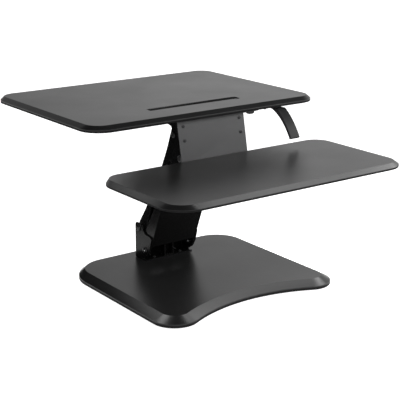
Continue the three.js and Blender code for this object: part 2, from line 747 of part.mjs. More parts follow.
function makeLeverBracket(parent) {
  const { left, right, front, back, sheet } = LEVER_BRACKET;
  const bottom = topPlateTop - sheet;
  const earOutline = [
    [LEVER.y - 12, topPlateTop - 0.5, 0],
    [LEVER.y - 9, LEVER.z - 8, 7],
    [LEVER.y + 9, LEVER.z - 8, 7],
    [LEVER.y + 12, topPlateTop - 0.5, 0],
  ];
  const leftEar = LEVER.left - 1.5;
  const rightEar = LEVER.right + 1.5;
  const bracket = join(
    block([left, right], [front + 30, back], [bottom, topPlateTop]),
    block([left, leftEar], [front, back], [bottom, topPlateTop]),
    block([rightEar, right], [front, back], [bottom, topPlateTop]),
    sidePlate(earOutline, leftEar - sheet, leftEar),
    sidePlate(earOutline, rightEar, rightEar + sheet),
  );
  const holes = [
    barX(LEVER_PIN_RADIUS + GAP, left, right, LEVER.y, LEVER.z, 12),
    ...LEVER_SCREWS.map(([x, y]) => screwHole(x, y, bottom - 1, topPlateTop + 1)),
  ];
  piece(parent, "lever_bracket", cut(bracket, ...holes), COATED_BLACK);
  LEVER_SCREWS.forEach(([x, y], i) =>
    piece(parent, `lever_screw_${i ? "right" : "left"}`, woodScrew(x, y, bottom, 1, sheet + GAP), BARE_STEEL),
  );
  const pinLeft = leftEar - sheet - GAP;
  const pin = join(
    barX(LEVER_PIN_RADIUS, pinLeft - 1, rightEar + sheet + 9, LEVER.y, LEVER.z, 12),
    barX(LEVER_PIN_RADIUS + 1.8, pinLeft - 2, pinLeft, LEVER.y, LEVER.z, 12),
  );
  piece(parent, "lever_pin", pin, BARE_STEEL);
}

function makeReturnSpring(parent) {
  const wire = 0.6;
  const coilRadius = LEVER_PIN_RADIUS + 1.5;
  const turns = 3.25;
  const start = LEVER.right + 1.5 + LEVER_BRACKET.sheet + 1.2;
  const pitch = 1.7;
  const points = [];
  const stepsPerTurn = 10;
  for (let i = 0; i <= turns * stepsPerTurn; i += 1) {
    const angle = (i / stepsPerTurn) * 2 * Math.PI + Math.PI / 2;
    const x = start + (i / stepsPerTurn) * pitch;
    const y = LEVER.y + coilRadius * Math.cos(angle);
    const z = LEVER.z + coilRadius * Math.sin(angle);
    points.push(new THREE.Vector3(x, y, z));
  }
  const section = new THREE.Shape().absarc(0, 0, wire, 0, 2 * Math.PI, false);
  const geometry = new THREE.ExtrudeGeometry(section, {
    steps: points.length,
    curveSegments: 2,
    bevelEnabled: false,
    extrudePath: new THREE.CatmullRomCurve3(points),
  });
  piece(parent, "lever_return_spring", solid(geometry), BARE_STEEL);
}

function makeLever(parent) {
  const { left, right, y, z, hub } = LEVER;
  const paddle = new THREE.Shape();
  paddle.moveTo(y, z + hub - 4.8);
  paddle.lineTo(-90, z + 2.2);
  paddle.bezierCurveTo(-112, z - 12, -137, z - 36, -159, z - 75);
  paddle.lineTo(-151.5, z - 79.5);
  paddle.bezierCurveTo(-133, z - 46, -106, z - 16, -70, z - 2.2);
  paddle.quadraticCurveTo(-60, z + 0.5, y, z - 4.5);
  paddle.closePath();
  const body = join(alongX(paddle, left, right, 12), barX(hub, left, right, y, z, 20));
  const hole = barX(LEVER_PIN_RADIUS + GAP, left - 1, right + 1, y, z, 12);
  piece(parent, "release_lever", cut(body, hole), MOULDED_GREY);
}

const CABLE_HEIGHT = 502.3;
const CABLE_BLOCK = { x0: 44, x1: 62 };

function makeReleaseCable(parent) {
  const route = [
    [231.5, -36, CABLE_HEIGHT],
    [222, -38, CABLE_HEIGHT],
    [203, -56, CABLE_HEIGHT],
    [182, -74, CABLE_HEIGHT],
    [CLIP_X + 13, CLIP_Y, CABLE_HEIGHT],
    [CLIP_X - 13, CLIP_Y, CABLE_HEIGHT],
    [120, -73, CABLE_HEIGHT],
    [110, -48, CABLE_HEIGHT - 2],
    [103, -26, CABLE_PORT.z + 1],
    [BRACKET_HALF + 2, CABLE_PORT.y, CABLE_PORT.z],
    [CABLE_BLOCK.x1 + GAP, CABLE_PORT.y, CABLE_PORT.z],
  ].map((point) => new THREE.Vector3(...point));
  const section = new THREE.Shape().absarc(0, 0, CABLE_RADIUS, 0, 2 * Math.PI, false);
  const geometry = new THREE.ExtrudeGeometry(section, {
    steps: 30,
    curveSegments: 4,
    bevelEnabled: false,
    extrudePath: new THREE.CatmullRomCurve3(route),
  });
  piece(parent, "release_cable", solid(geometry), RUBBER);

  const stop = block(
    [CABLE_BLOCK.x0, CABLE_BLOCK.x1],
    [CABLE_PORT.y - 8, CABLE_PORT.y + 8],
    [CABLE_PORT.z - 7, topPlateBottom - GAP],
  );
  piece(parent, "cable_stop", stop, NYLON);

  const saddle = new THREE.ExtrudeGeometry(
    roundedShape([
      [CLIP_X - 14, topPlateTop, 0],
      [CLIP_X + 14, topPlateTop, 0],
      [CLIP_X + 10, 495, 5],
      [CLIP_X - 10, 495, 5],
    ]),
    { depth: 11, bevelEnabled: false, curveSegments: 5 },
  );
  saddle.rotateX(Math.PI / 2);
  saddle.translate(0, CLIP_Y + 5.5, 0);
  const tunnel = barX(CABLE_RADIUS + 0.9, CLIP_X - 20, CLIP_X + 20, CLIP_Y, CABLE_HEIGHT, 12);
  piece(parent, "cable_clip", cut(solid(saddle), tunnel), NYLON);
}

// ---- assembly -----------------------------------------------------------------------------------

const base = group(desk);
makeBaseBoard(base);
makeBaseBracket(base);
makeSpringClevis(base);
pivotSet(base, "lower", PIVOT_B, PIVOT_A);

makeFrontArm(group(desk, PIVOT_B.y, PIVOT_B.z, ARM_LEAN));
makeRearArm(group(desk, PIVOT_A.y, PIVOT_A.z, ARM_LEAN));
makeGasSpring(group(desk, SPRING_FOOT.y, SPRING_FOOT.z, SPRING_TURN));

const carriage = group(desk);
makeTopBracket(carriage);
pivotSet(carriage, "upper", PIVOT_D, PIVOT_C);
makeDropPlate(carriage);
makeKeyBoard(carriage);
makeTopBoard(carriage);
makeLeverBracket(carriage);
makeReturnSpring(carriage);
makeReleaseCable(carriage);
makeLever(group(carriage));

export default desk;
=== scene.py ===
"""Standing desk converter: its finished look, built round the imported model.

Metres, +Z up, +Y towards the back. X = 0 is the middle of the boards and Z = 0 is the desk under the
rubber feet.
"""
import json
import math

import bmesh
import bpy
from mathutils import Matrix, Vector

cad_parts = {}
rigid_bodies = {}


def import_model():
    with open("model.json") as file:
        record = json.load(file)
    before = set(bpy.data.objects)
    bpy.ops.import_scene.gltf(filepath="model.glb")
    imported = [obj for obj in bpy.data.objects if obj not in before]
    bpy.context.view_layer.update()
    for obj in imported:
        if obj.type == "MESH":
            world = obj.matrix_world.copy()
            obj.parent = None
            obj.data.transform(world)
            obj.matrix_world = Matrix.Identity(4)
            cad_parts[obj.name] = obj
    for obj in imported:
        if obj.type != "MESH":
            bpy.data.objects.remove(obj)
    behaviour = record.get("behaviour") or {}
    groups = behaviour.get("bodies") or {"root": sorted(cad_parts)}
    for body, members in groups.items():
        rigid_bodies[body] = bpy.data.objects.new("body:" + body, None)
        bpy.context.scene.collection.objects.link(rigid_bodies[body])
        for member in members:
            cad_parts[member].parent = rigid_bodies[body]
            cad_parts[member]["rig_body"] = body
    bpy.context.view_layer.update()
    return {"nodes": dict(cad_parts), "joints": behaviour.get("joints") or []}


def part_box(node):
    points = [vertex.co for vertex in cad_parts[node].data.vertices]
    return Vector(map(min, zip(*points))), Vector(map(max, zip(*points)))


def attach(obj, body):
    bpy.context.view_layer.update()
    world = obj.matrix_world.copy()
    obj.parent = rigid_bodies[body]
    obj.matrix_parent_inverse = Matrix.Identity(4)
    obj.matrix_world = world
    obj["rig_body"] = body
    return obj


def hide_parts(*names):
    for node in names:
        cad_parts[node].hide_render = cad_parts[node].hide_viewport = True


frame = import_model()

MM = 0.001
NODES = frame["nodes"]
JOINTS = {joint["name"]: joint for joint in frame["joints"]}


# ---- camera, floor and light --------------------------------------------------------------------

EYE = (-1.8025, -2.5026, 1.1502)
HEADING = math.radians(36.14)  # from +Y towards +X
DOWNWARD = math.radians(16.46)
LENS_MM = 97.5
SENSOR_MM = 36

# Radiances of the room. LEFT_GLOW is the share of the walls' light that is left at the left.
WALL_GLOW = 0.88
OVERHEAD_GLOW = 0.1
LEFT_GLOW = 0.55
BANK_GLOW = 2.0
FLOOR_GLOW = 0.85
FLOOR_REACH = 30
FLOOR_DROP = 0.0005  # keeps the floor clear of the feet's undersides

# A black card behind the column's left: the middle and the half of its foot, and its height.
CARD_MIDDLE = Vector((-0.33, 0.43, 0))
CARD_HALF = Vector((0.2015, 0.1469, 0))
CARD_HEIGHT = Vector((0, 0, 0.45))

# Level panels that shine down: middle, width, depth and radiance. The ones about 0.375 high hang under
# the keyboard board, and the boards' faces and sloped edges reflect them all.
PANELS = {
    "over_keyboard": ((0.56, -0.415, 0.78), 1.3, 0.26, 3.4),
    "far_right": ((0.95, -0.415, 0.77), 0.6, 0.26, 2),
    "under_keyboard": ((0.27, -0.23, 0.375), 0.6, 0.22, 2.5),
    "corner_front": ((-0.005, -0.24, 0.374), 0.05, 0.16, 5),
    "beside_column": ((0.42, 0.0, 0.375), 0.4, 0.24, 2),
    "corner_right": ((0.56, -0.16, 0.374), 0.18, 0.26, 6),
    "left_of_column": ((-0.31, -0.03, 0.375), 0.2, 0.2, 5),
    "left_of_base": ((-0.24, 0.3, 0.5), 0.26, 0.36, 1.2),
    "left_of_trays": ((-0.375, -0.13, 0.5), 0.16, 0.25, 0.7),
}


def link(obj):
    bpy.context.scene.collection.objects.link(obj)
    return obj


def make_camera():
    data = bpy.data.cameras.new("camera")
    data.lens = LENS_MM
    data.sensor_width = SENSOR_MM
    data.clip_end = 100
    camera = link(bpy.data.objects.new("camera", data))
    level = math.cos(DOWNWARD)
    forward = Vector((math.sin(HEADING) * level, math.cos(HEADING) * level, -math.sin(DOWNWARD)))
    camera.location = EYE
    camera.rotation_euler = forward.to_track_quat("-Z", "Y").to_euler()
    bpy.context.scene.camera = camera


make_camera()


def node(tree, kind, inputs=None, **settings):
    """A shader node with its settings and its unlinked or linked inputs."""
    made = tree.nodes.new(kind)
    for key, value in settings.items():
        setattr(made, key, value)
    for key, value in (inputs or {}).items():
        if isinstance(value, bpy.types.NodeSocket):
            tree.links.new(value, made.inputs[key])
        else:
            made.inputs[key].default_value = value
    return made


def dull_material(name, level):
    """A diffuse grey without any shine."""
    material = bpy.data.materials.new(name)
    material.use_nodes = True
    inputs = material.node_tree.nodes["Principled BSDF"].inputs
    inputs["Base Color"].default_value = (level, level, level, 1)
    inputs["Roughness"].default_value = 1
    inputs["Specular IOR Level"].default_value = 0
    return material


def stage_card(name, corners, material):
    """One face that belongs to the studio and not to the object."""
    mesh = bpy.data.meshes.new(name)
    mesh.from_pydata([tuple(corner) for corner in corners], [], [(0, 1, 2, 3)])
    mesh.materials.append(material)
    card = link(bpy.data.objects.new(name, mesh))
    return card


def make_floor():
    material = dull_material("studio_floor", 0.9)
    inputs = material.node_tree.nodes["Principled BSDF"].inputs
    inputs["Emission Color"].default_value = (1, 1, 1, 1)
    inputs["Emission Strength"].default_value = FLOOR_GLOW
    signs = ((-1, -1), (1, -1), (1, 1), (-1, 1))
    corners = [(x * FLOOR_REACH, y * FLOOR_REACH, 0) for x, y in signs]
    stage_card("floor", corners, material).location.z = -FLOOR_DROP


def mapped(tree, value, start, end, low, high, curve="SMOOTHSTEP"):
    """The value carried from the range start to end over to the range low to high."""
    inputs = {"Value": value, "From Min": start, "From Max": end, "To Min": low, "To Max": high}
    return node(tree, "ShaderNodeMapRange", inputs, interpolation_type=curve).outputs["Result"]


def maths(tree, operation, first, second):
    return node(tree, "ShaderNodeMath", {0: first, 1: second}, operation=operation).outputs["Value"]


def make_world():
    """A white cyclorama, dimmer overhead and to the left, with a bright bank high in front."""
    world = bpy.data.worlds.new("studio")
    world.use_nodes = True
    bpy.context.scene.world = world
    tree = world.node_tree
    direction = node(tree, "ShaderNodeTexCoord").outputs["Generated"]
    parts = node(tree, "ShaderNodeSeparateXYZ", {"Vector": direction}).outputs
    wall = mapped(tree, parts["Z"], 0.42, 0.68, WALL_GLOW, OVERHEAD_GLOW)
    wall = maths(tree, "MULTIPLY", wall, mapped(tree, parts["X"], 0.36, 0.6, LEFT_GLOW, 1.0))
    bank = mapped(tree, parts["Y"], -0.45, -0.22, BANK_GLOW, 0.0)
    bank = maths(tree, "MULTIPLY", bank, mapped(tree, parts["Z"], 0.68, 0.8, 1.0, 0.0))
    bank = maths(tree, "MULTIPLY", bank, mapped(tree, parts["Z"], 0.2, 0.4, 0.0, 1.0))
    tree.links.new(maths(tree, "ADD", wall, bank), tree.nodes["Background"].inputs["Strength"])
    tree.nodes["Background"].inputs["Color"].default_value = (1, 1, 1, 1)


def light_panel(name, place, width, depth, radiance):
    """A level panel that shines straight down, unseen by the camera."""
    data = bpy.data.lights.new(name, "AREA")
    data.shape = "RECTANGLE"
    data.size = width
    data.size_y = depth
    data.energy = radiance * math.pi * width * depth
    panel = link(bpy.data.objects.new(name, data))
    panel.location = place
    panel.visible_camera = False


def make_flag():
    """The black card, seen by reflections only."""
    feet = [CARD_MIDDLE - CARD_HALF, CARD_MIDDLE + CARD_HALF]
    corners = [*feet, *(foot + CARD_HEIGHT for foot in reversed(feet))]
    flag = stage_card("flag", corners, dull_material("black_card", 0.01))
    flag.visible_camera = False
    flag.visible_diffuse = False
    flag.visible_shadow = False


def make_studio():
    bpy.context.scene.view_settings.view_transform = "Standard"
    make_floor()
    make_world()
    make_flag()
    for name, (place, width, depth, radiance) in PANELS.items():
        light_panel(name, place, width, depth, radiance)


make_studio()


# ---- materials ----------------------------------------------------------------------------------


def coordinates(tree):
    return node(tree, "ShaderNodeTexCoord").outputs["Object"]


def noise(tree, scale, detail=2.0, roughness=0.5):
    inputs = {"Vector": coordinates(tree), "Scale": scale, "Detail": detail, "Roughness": roughness}
    return node(tree, "ShaderNodeTexNoise", inputs).outputs["Fac"]


def spread(tree, value, low, high, start=0.3, end=0.7):
    """Stretches a noise value to the range from low to high."""
    return mapped(tree, value, start, end, low, high, curve="LINEAR")


def blend_colours(tree, share, first, second):
    """The first colour where the share is 0 and the second where it is 1."""
    mixed = tree.nodes.new("ShaderNodeMix")
    mixed.data_type = "RGBA"
    tree.links.new(share, mixed.inputs[0])
    sockets = {socket.name: socket for socket in mixed.inputs if socket.type == "RGBA"}
    for socket, colour in ((sockets["A"], first), (sockets["B"], second)):
        if isinstance(colour, bpy.types.NodeSocket):
            tree.links.new(colour, socket)
        else:
            socket.default_value = colour
    return next(socket for socket in mixed.outputs if socket.type == "RGBA")


def edge_share(tree, radius):
    """Near 1 where the surface turns sharply within the radius, 0 on flat ground."""
    rounded_normal = node(tree, "ShaderNodeBevel", {"Radius": radius}, samples=4).outputs["Normal"]
    flat_normal = node(tree, "ShaderNodeNewGeometry").outputs["Normal"]
    agreement = node(
        tree, "ShaderNodeVectorMath", {0: rounded_normal, 1: flat_normal}, operation="DOT_PRODUCT"
    ).outputs["Value"]
    return spread(tree, agreement, 1.0, 0.0, 0.86, 0.99)


BARE_STEEL = 0.85  # grey of uncoated metal
COAT_TINT = 0.02  # how much bluer than grey every coat is
RAW_SPECULAR = 0.05
RAW_ROUGHENING = 0.3
RAW_BELOW = (0.22, 0.42)  # the raw back fades out between these shares of the piece's height


def grey(level, tint=0.0):
    return (level, level, level * (1 + tint), 1)


def raw_share(tree):
    """Near 1 along a piece's underside and wherever its vertices are marked as sawn."""
    height = node(tree, "ShaderNodeTexCoord").outputs["Generated"]
    height = node(tree, "ShaderNodeSeparateXYZ", {"Vector": height}).outputs["Z"]
    sawn = node(tree, "ShaderNodeAttribute", attribute_name="sawn").outputs["Fac"]
    return maths(tree, "MAXIMUM", mapped(tree, height, *RAW_BELOW, 1.0, 0.0), sawn)


def bump(tree, height, depth_mm, **below):
    inputs = {"Height": height, "Distance": depth_mm * MM, "Strength": 1.0, **below}
    return node(tree, "ShaderNodeBump", inputs).outputs["Normal"]


def surface(
    name, level, roughness, metallic=0.0, specular=0.5, mottle=(25, 0.12), rough_spread=0.05,
    grain=(900, 0.03), pebble=None, wear_and_sheen=None, raw_back=False,
):
    """A coated, moulded or metal surface.

    level is its linear grey, mottle the scale and strength of its cloudiness, grain the scale per metre
    and height in millimetres of its fine texture, pebble the same for a coarser cell pattern, and the
    pair for the edges the grey and radius of their lighter band, partly rubbed wear and partly a painted
    highlight along the edges. A raw back is dull and matt along the piece's underside.
    """
    material = bpy.data.materials.new(name)
    material.use_nodes = True
    tree = material.node_tree
    shader = tree.nodes["Principled BSDF"]
    shader.inputs["Metallic"].default_value = metallic
    shader.inputs["Specular IOR Level"].default_value = specular

    scale, strength = mottle
    cloud = spread(tree, noise(tree, scale, 5, 0.6), 0, 1)
    shades = [grey(level * (1 + side * strength), COAT_TINT) for side in (-1, 1)]
    colour = blend_colours(tree, cloud, *shades)
    # Lighter edges broken up by noise: partly rubbed wear, partly a painted highlight along the edges.
    if wear_and_sheen:
        edge_wear_and_sheen_grey, radius = wear_and_sheen
        broken = spread(tree, noise(tree, 400, 4, 0.65), 0, 1, 0.42, 0.6)
        share = maths(tree, "MULTIPLY", edge_share(tree, radius), broken)
        colour = blend_colours(tree, share, colour, grey(edge_wear_and_sheen_grey))
    if metallic:
        bare = node(tree, "ShaderNodeAttribute", attribute_name="bare").outputs["Fac"]
        colour = blend_colours(tree, bare, colour, grey(BARE_STEEL))
    tree.links.new(colour, shader.inputs["Base Color"])

    smear = noise(tree, scale * 0.4, 3, 0.55)
    rough = spread(tree, smear, roughness - rough_spread, roughness + rough_spread)
    if raw_back:
        raw = raw_share(tree)
        shine = spread(tree, raw, specular, RAW_SPECULAR, 0, 1)
        tree.links.new(shine, shader.inputs["Specular IOR Level"])
        rough = maths(tree, "ADD", rough, maths(tree, "MULTIPLY", raw, RAW_ROUGHENING))
    tree.links.new(rough, shader.inputs["Roughness"])

    grain_scale, grain_height = grain
    normal = bump(tree, noise(tree, grain_scale, 3, 0.6), grain_height)
    if pebble:
        pebble_scale, pebble_height = pebble
        inputs = {"Vector": coordinates(tree), "Scale": pebble_scale}
        cells = node(tree, "ShaderNodeTexVoronoi", inputs, feature="SMOOTH_F1").outputs["Distance"]
        normal = bump(tree, cells, pebble_height, Normal=normal)
    tree.links.new(normal, shader.inputs["Normal"])
    return material


# The edge greys below lighten every edge: partly rubbed wear, partly a painted edge highlight.
MATERIALS = {
    "black_board": surface(
        "board_foil", 0.007, 0.31, specular=0.38, raw_back=True, mottle=(14, 0.1), rough_spread=0.02,
        grain=(2600, 0.012), pebble=(1100, 0.02), wear_and_sheen=(0.05, 0.9 * MM),
    ),
    "black_steel": surface(
        "black_powder_coat", 0.003, 0.22, specular=0.1, mottle=(30, 0.15), grain=(1500, 0.03),
        wear_and_sheen=(0.05, 0.7 * MM),
    ),
    "grey_plate": surface(
        "grey_powder_coat", 0.05, 0.42, specular=0.4, mottle=(12, 0.06), rough_spread=0.04,
        grain=(1600, 0.03), wear_and_sheen=(0.18, 0.9 * MM),
    ),
    "fastener_steel": surface(
        "blackened_steel", 0.04, 0.34, metallic=1.0, mottle=(300, 0.3), rough_spread=0.08,
        grain=(1200, 0.01), wear_and_sheen=(0.3, 0.5 * MM),
    ),
    "chrome_rod": surface(
        "hard_chrome", 0.6, 0.09, metallic=1.0, mottle=(60, 0.05), rough_spread=0.03,
        grain=(1500, 0.001),
    ),
    "nylon": surface(
        "black_nylon", 0.013, 0.5, mottle=(80, 0.15), grain=(1800, 0.02), wear_and_sheen=(0.03, 0.6 * MM),
    ),
    "lever_plastic": surface(
        "grey_moulded_plastic", 0.014, 0.4, specular=0.12, mottle=(40, 0.08), grain=(2200, 0.02),
        wear_and_sheen=(0.08, 0.8 * MM),
    ),
    "cable_jacket": surface("cable_jacket", 0.012, 0.5, mottle=(60, 0.1), grain=(1200, 0.02)),
    "rubber_foot": surface("black_rubber", 0.009, 0.75, mottle=(60, 0.2), grain=(900, 0.05)),
}


# ---- outlines, skins and turned parts -----------------------------------------------------------


def arc(centre, radius, start, end, steps):
    """Points of a true arc, both ends included, angles in radians."""
    return [
        (
            centre[0] + radius * math.cos(start + (end - start) * i / steps),
            centre[1] + radius * math.sin(start + (end - start) * i / steps),
        )
        for i in range(steps + 1)
    ]


def rounded(corners, closed=True, step=math.radians(10)):
    """Corners (u, v, radius) to points, each radius a true arc. An open line keeps its two ends."""
    points = []
    count = len(corners)
    for i, (u, v, *rest) in enumerate(corners):
        radius = rest[0] if rest else 0
        here = Vector((u, v))
        if radius <= 0 or (not closed and i in (0, count - 1)):
            points.append((u, v))
            continue
        before = (Vector(corners[i - 1][:2]) - here).normalized()
        after = (Vector(corners[(i + 1) % count][:2]) - here).normalized()
        half = before.angle(after) / 2
        centre = here + (before + after).normalized() * radius / math.sin(half)
        first = here + before * radius / math.tan(half) - centre
        last = here + after * radius / math.tan(half) - centre
        start = math.atan2(first.y, first.x)
        turn = math.atan2(first.x * last.y - first.y * last.x, first.dot(last))
        steps = max(2, math.ceil(abs(turn) / step))
        points += arc(centre, radius, start, start + turn, steps)
    return points


def skin(rings, capped=True, loop=False):
    """Vertices and faces through rings of one length, counter-clockwise seen from the last ring."""
    count = len(rings[0])
    vertices = [tuple(point) for ring in rings for point in ring]
    faces = []
    for level in range(len(rings) if loop else len(rings) - 1):
        low = level * count
        high = (level + 1) % len(rings) * count
        for k in range(count):
            n = (k + 1) % count
            faces.append((low + k, low + n, high + n, high + k))
    if capped and not loop:
        faces.append(tuple(reversed(range(count))))
        faces.append(tuple(range(len(vertices) - count, len(vertices))))
    return vertices, faces


def new_object(name, vertices, faces):
    mesh = bpy.data.meshes.new(name)
    mesh.from_pydata([tuple(v) for v in vertices], [], faces)
    return link(bpy.data.objects.new(name, mesh))


def shade(obj, sharp_from=30):
    """Smooth shading, with hard edges where the surface turns by more than the given degrees."""
    obj.data.polygons.foreach_set("use_smooth", [True] * len(obj.data.polygons))
    obj.data.set_sharp_from_angle(angle=math.radians(sharp_from))


def stands_for(obj, name, sharp_from=30):
    """The piece takes a CAD node's place: its body, its material slot and that slot's material."""
    shade(obj, sharp_from)
    slot = NODES[name].data.materials[0].name
    obj.data.materials.clear()
    obj.data.materials.append(MATERIALS[slot])
    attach(obj, NODES[name]["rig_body"])
    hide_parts(name)
    return obj


def polygon_radius(sides, angle):
    """How far a regular polygon's edge lies from its centre at an angle, its corners at 1."""
    half = math.pi / sides
    return math.cos(half) / math.cos(angle % (2 * half) - half)


def lobe_radius(lobes, depth, angle):
    return 1 - depth * (0.5 - 0.5 * math.cos(lobes * angle))


def mark(obj, attribute, values):
    """Gives each vertex a value that the material reads."""
    obj.data.attributes.new(attribute, "FLOAT", "POINT").data.foreach_set("value", values)


def outward(obj):
    """Turns every face of a closed piece outward."""
    mesh = bmesh.new()
    mesh.from_mesh(obj.data)
    bmesh.ops.recalc_face_normals(mesh, faces=mesh.faces)
    mesh.to_mesh(obj.data)
    mesh.free()
    return obj


def turned(name, profile, origin, axis, segments=36, loop=False, bare_within=0.0):
    """A turned part.

    The profile is (radius, height, outline) in millimetres up the axis. The outline may be left out for
    a circle, or is a function from an angle to a share of the radius. Within the bare radius the metal
    is left uncoated.
    """
    axis = Vector(axis).normalized()
    side = axis.orthogonal().normalized()
    across = axis.cross(side)
    origin = Vector(origin)
    rings = []
    for radius, height, *outline in profile:
        ring = []
        for k in range(segments):
            angle = 2 * math.pi * k / segments
            reach = radius * MM * (outline[0](angle) if outline else 1)
            out = side * math.cos(angle) + across * math.sin(angle)
            ring.append(origin + axis * height * MM + out * reach)
        rings.append(ring)
    made = outward(new_object(name, *skin(rings, loop=loop)))
    if bare_within:
        bare = [float(radius <= bare_within) for radius, *_ in profile]
        mark(made, "bare", [value for value in bare for _ in range(segments)])
    return made


def swept(name, points, radii, sides=16):
    """A round bar along a line of points, with a radius in millimetres at each point."""
    line = [Vector(point) for point in points]
    across = (line[1] - line[0]).orthogonal().normalized()
    turns = [2 * math.pi * k / sides for k in range(sides)]
    rings = []
    for i, point in enumerate(line):
        ahead = (line[min(i + 1, len(line) - 1)] - line[max(i - 1, 0)]).normalized()
        across = (across - ahead * across.dot(ahead)).normalized()
        other = ahead.cross(across)
        spokes = [across * math.cos(turn) + other * math.sin(turn) for turn in turns]
        rings.append([point + spoke * radii[i] * MM for spoke in spokes])
    return outward(new_object(name, *skin(rings)))


def centre_of(name):
    low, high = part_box(name)
    return (low + high) / 2


# ---- boards -------------------------------------------------------------------------------------

CORNER_STEPS = 24
BAY_STEPS = 64
BASE_BAY = (-259 * MM, 475 * MM)  # apex and radius of the base's concave front edge
SUPPORT = 3 * MM  # a strip of the flat faces that keeps the rounding of their edges even

# A tray's corner radius at its rim and on its face, how far its slope reaches in from the front and
# the sides and from the back, and how far the slope drops.
TOP_EDGE = (66 * MM, 44 * MM, 15 * MM, 12 * MM, 10 * MM)
KEYBOARD_EDGE = (75 * MM, 50 * MM, 17 * MM, 5.5 * MM, 9.5 * MM)
BASE_CORNER = 137 * MM
BASE_FACE_CORNER = 86 * MM
BASE_SLOPE = 27.5 * MM
BASE_DROP = 15 * MM

# The slot's two levels: half length, front, back and corner radius, then the depths at which its walls
# start and end, and the rounding of their edges.
SLOT_CENTRE = 13.5 * MM
STEP_DEPTH = 2.5 * MM
STEP = ((160 * MM, -4 * MM, 29.5 * MM, 10 * MM), 0, STEP_DEPTH, 0.5 * MM)
GROOVE = ((156.6 * MM, 13 * MM, 28 * MM, 4.8 * MM), STEP_DEPTH, 12 * MM, 0.3 * MM)


def tray_outline(low, high, radius, inset=0.0, back_inset=0.0):
    x = high.x - inset - radius
    front = low.y + inset + radius
    back = high.y - back_inset - radius
    quarter = math.pi / 2
    points = []
    for x_centre, y_centre, turns in ((-x, front, 2), (x, front, 3), (x, back, 0), (-x, back, 1)):
        start = turns * quarter
        points += arc((x_centre, y_centre), radius, start, start + quarter, CORNER_STEPS)
    return points


def base_outline(low, high, radius, bay_apex, bay_radius, inset=0.0):
    """The base's outline: its front corners touch the side, the frontmost line and the concave bay."""
    half = high.x
    bay_y = bay_apex - bay_radius
    rise = low.y - bay_y
    slack = rise - half - bay_radius
    tip = -slack - math.sqrt(slack**2 - (half**2 + rise**2 - bay_radius**2))
    tip_y = low.y + tip
    turn = math.atan2(tip_y - bay_y, half - tip)
    quarter = math.pi / 2
    x = half - inset - radius
    y = high.y - inset - radius
    arcs = (
        ((-half + tip, tip_y), tip - inset, 2 * quarter, 4 * quarter - turn, CORNER_STEPS),
        ((0, bay_y), bay_radius + inset, 2 * quarter - turn, turn, BAY_STEPS),
        ((half - tip, tip_y), tip - inset, 2 * quarter + turn, 4 * quarter, CORNER_STEPS),
        ((x, y), radius, 0, quarter, CORNER_STEPS),
        ((-x, y), radius, quarter, 2 * quarter, CORNER_STEPS),
    )
    return [point for settings in arcs for point in arc(*settings)]


def without_repeats(rings):
    """Drops the points that every ring repeats, where one arc runs straight into the next."""
    keep = [
        k for k in range(len(rings[0]))
        if (Vector(rings[0][k]) - Vector(rings[0][k - 1])).length > 1e-6
    ]
    return [[ring[k] for k in keep] for ring in rings]


def board_rings(rim, face, bottom, top, inset, drop):
    """Rings from the underside to the top face: a rounded lip, an upright rim and a slope."""
    corners = [
        (SUPPORT, bottom),
        (0, bottom, 1 * MM),
        (0, top - drop, 0.9 * MM),
        (inset, top, 1.2 * MM),
        (inset + SUPPORT, top),
    ]
    rings = []
    for amount, z in rounded(corners, closed=False, step=math.radians(7)):
        share = amount / inset
        ring = [(a + (c - a) * share, b + (d - b) * share, z) for (a, b), (c, d) in zip(rim, face)]
        rings.append(ring)
    return without_repeats(rings)


def tray_rings(name, corner, face_corner, slope, back_slope, drop):
    low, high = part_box(name)
    rim = tray_outline(low, high, corner)
    face = tray_outline(low, high, face_corner, slope, back_slope)
    return board_rings(rim, face, low.z, high.z, slope, drop)


def stretch(ring, first, last):
    """The ring's members from first to last, in the ring's order."""
    start = ring.index(first)
    from_first = ring[start:] + ring[:start]
    return from_first[: from_first.index(last) + 1]


def flat_between(vertices, outer, inner):
    """Two faces that fill the flat between counter-clockwise rings, split at the inner one's ends."""
    left = min(inner, key=lambda v: vertices[v][0])
    right = max(inner, key=lambda v: vertices[v][0])

    def nearest(end):
        return min(outer, key=lambda v: math.dist(vertices[v], vertices[end]))

    west = nearest(left)
    east = nearest(right)
    front = stretch(outer, west, east) + stretch(inner, left, right)[::-1]
    back = stretch(outer, east, west) + stretch(inner, right, left)[::-1]
    return [tuple(front), tuple(back)]


def slot_outline(half_length, front, back, radius, grow):
    left = SLOT_CENTRE - half_length - grow
    right = SLOT_CENTRE + half_length + grow
    near = front - grow
    far = back + grow
    corners = [(left, near), (right, near), (right, far), (left, far)]
    return rounded([(x, y, radius + grow) for x, y in corners], step=math.radians(9))


def slot_rings(top, outline, start, floor, edge):
    """Rings down one of the slot's walls, from the flat round it to the flat at its foot."""
    corners = [
        (edge + 0.3 * MM, start),
        (0, start, edge),
        (0, floor, edge),
        (-edge - 0.2 * MM, floor),
    ]
    wall = rounded(corners, closed=False, step=math.radians(22))
    return [[(x, y, top - depth) for x, y in slot_outline(*outline, grow)] for grow, depth in wall]


